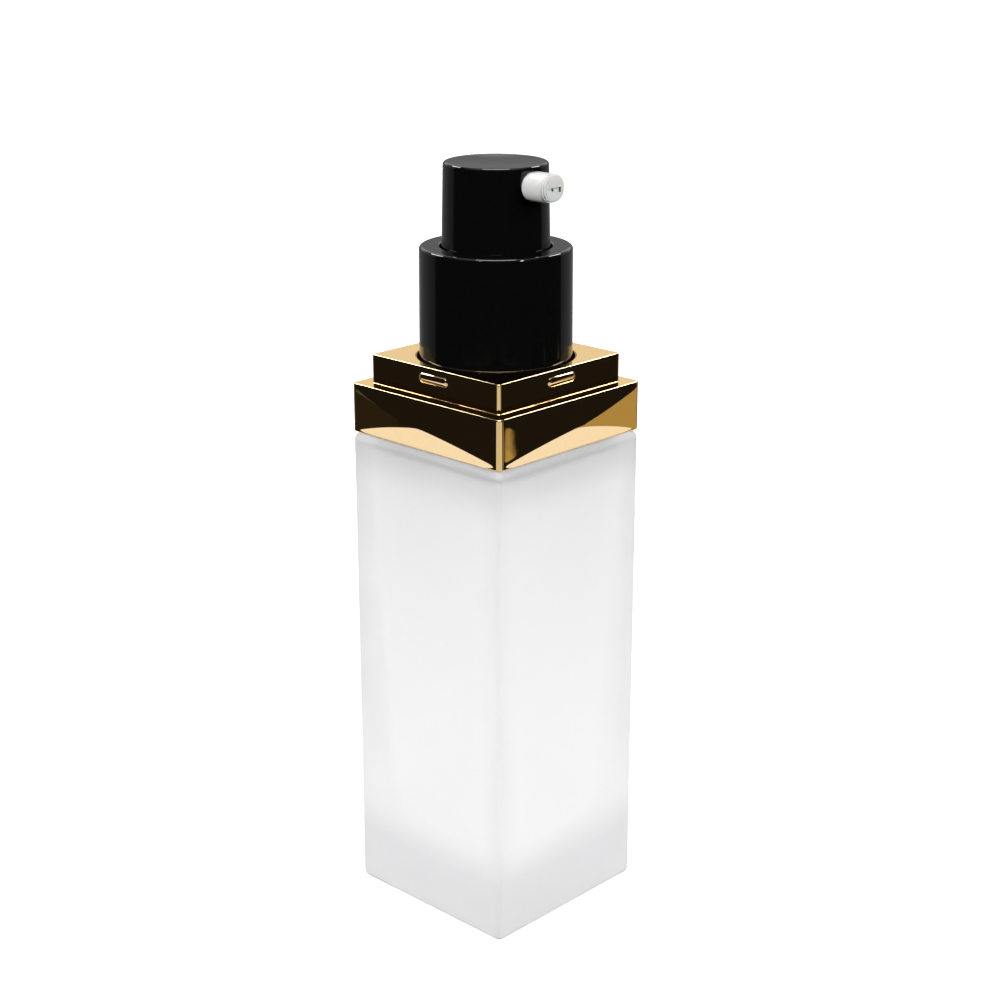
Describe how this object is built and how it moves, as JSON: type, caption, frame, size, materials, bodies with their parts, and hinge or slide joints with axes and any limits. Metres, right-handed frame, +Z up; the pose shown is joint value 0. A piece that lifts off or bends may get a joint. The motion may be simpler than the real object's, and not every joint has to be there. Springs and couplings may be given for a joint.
{
  "type": "foundation bottle",
  "caption": "Square frosted glass foundation bottle with a faceted gold collar and a black treatment pump with a white spout.",
  "frame": {"origin": "centre of the bottle's foot, on the surface that it stands on", "axes": "+Z up along the pump's axis, +X the way the spout points, X and Y square to the glass sides"},
  "size_m": [0.0334, 0.0334, 0.1167],
  "materials": {
    "frosted_glass": "acid-frosted outside, clear inside",
    "gold_plating": "mirror gold electroplating on moulded plastic",
    "natural_plastic": "natural milky moulded plastic",
    "tube_plastic": "translucent extruded tube",
    "spring_steel": "bright stainless wire and ball",
    "black_plastic": "polished black moulded plastic",
    "white_plastic": "smooth white moulded plastic"
  },
  "bodies": {
    "bottle": {"glass_bottle": "frosted_glass", "gold_collar": "gold_plating", "collar_grip_ring": "natural_plastic"},
    "pump": {"pump_cylinder": "natural_plastic", "stem_guide": "natural_plastic", "dip_tube": "tube_plastic", "neck_gasket": "natural_plastic", "return_spring": "spring_steel"},
    "closure": {"closure_ring": "black_plastic", "outer_sleeve": "black_plastic"},
    "plunger": {"pump_stem": "natural_plastic", "piston_rod": "natural_plastic"},
    "piston": {"piston": "natural_plastic"},
    "ball": {"valve_ball": "spring_steel"},
    "button": {"button_core": "white_plastic", "spout_nozzle": "white_plastic", "button_shell": "black_plastic"}
  },
  "joints": [
    {"name": "pump_lift", "type": "slide", "parent": "bottle", "child": "pump", "axis": [0, 0, 1], "range_m": [0, 0.00636]},
    {"name": "closure_turn", "type": "hinge", "parent": "pump", "child": "closure", "pos_m": [0, 0, 0.084], "axis": [0, 0, 1], "range_deg": [0, 720]},
    {"name": "button_press", "type": "slide", "parent": "pump", "child": "plunger", "axis": [0, 0, -1], "range_m": [0, 0.0055], "stiffness_N_per_m": 1500, "springref_m": -0.003, "deforming": ["return_spring"]},
    {"name": "piston_slip", "type": "slide", "parent": "plunger", "child": "piston", "axis": [0, 0, 1], "range_m": [0, 0.0008]},
    {"name": "ball_lift", "type": "slide", "parent": "pump", "child": "ball", "axis": [0, 0, 1], "range_m": [0, 0.001]},
    {"name": "button_turn", "type": "hinge", "parent": "plunger", "child": "button", "pos_m": [0, 0, 0.105], "axis": [0, 0, 1], "continuous": true}
  ],
  "couplings": [
    {"joint": "pump_lift", "follows": "closure_turn", "m_per_rad": 0.00050532}
  ]
}
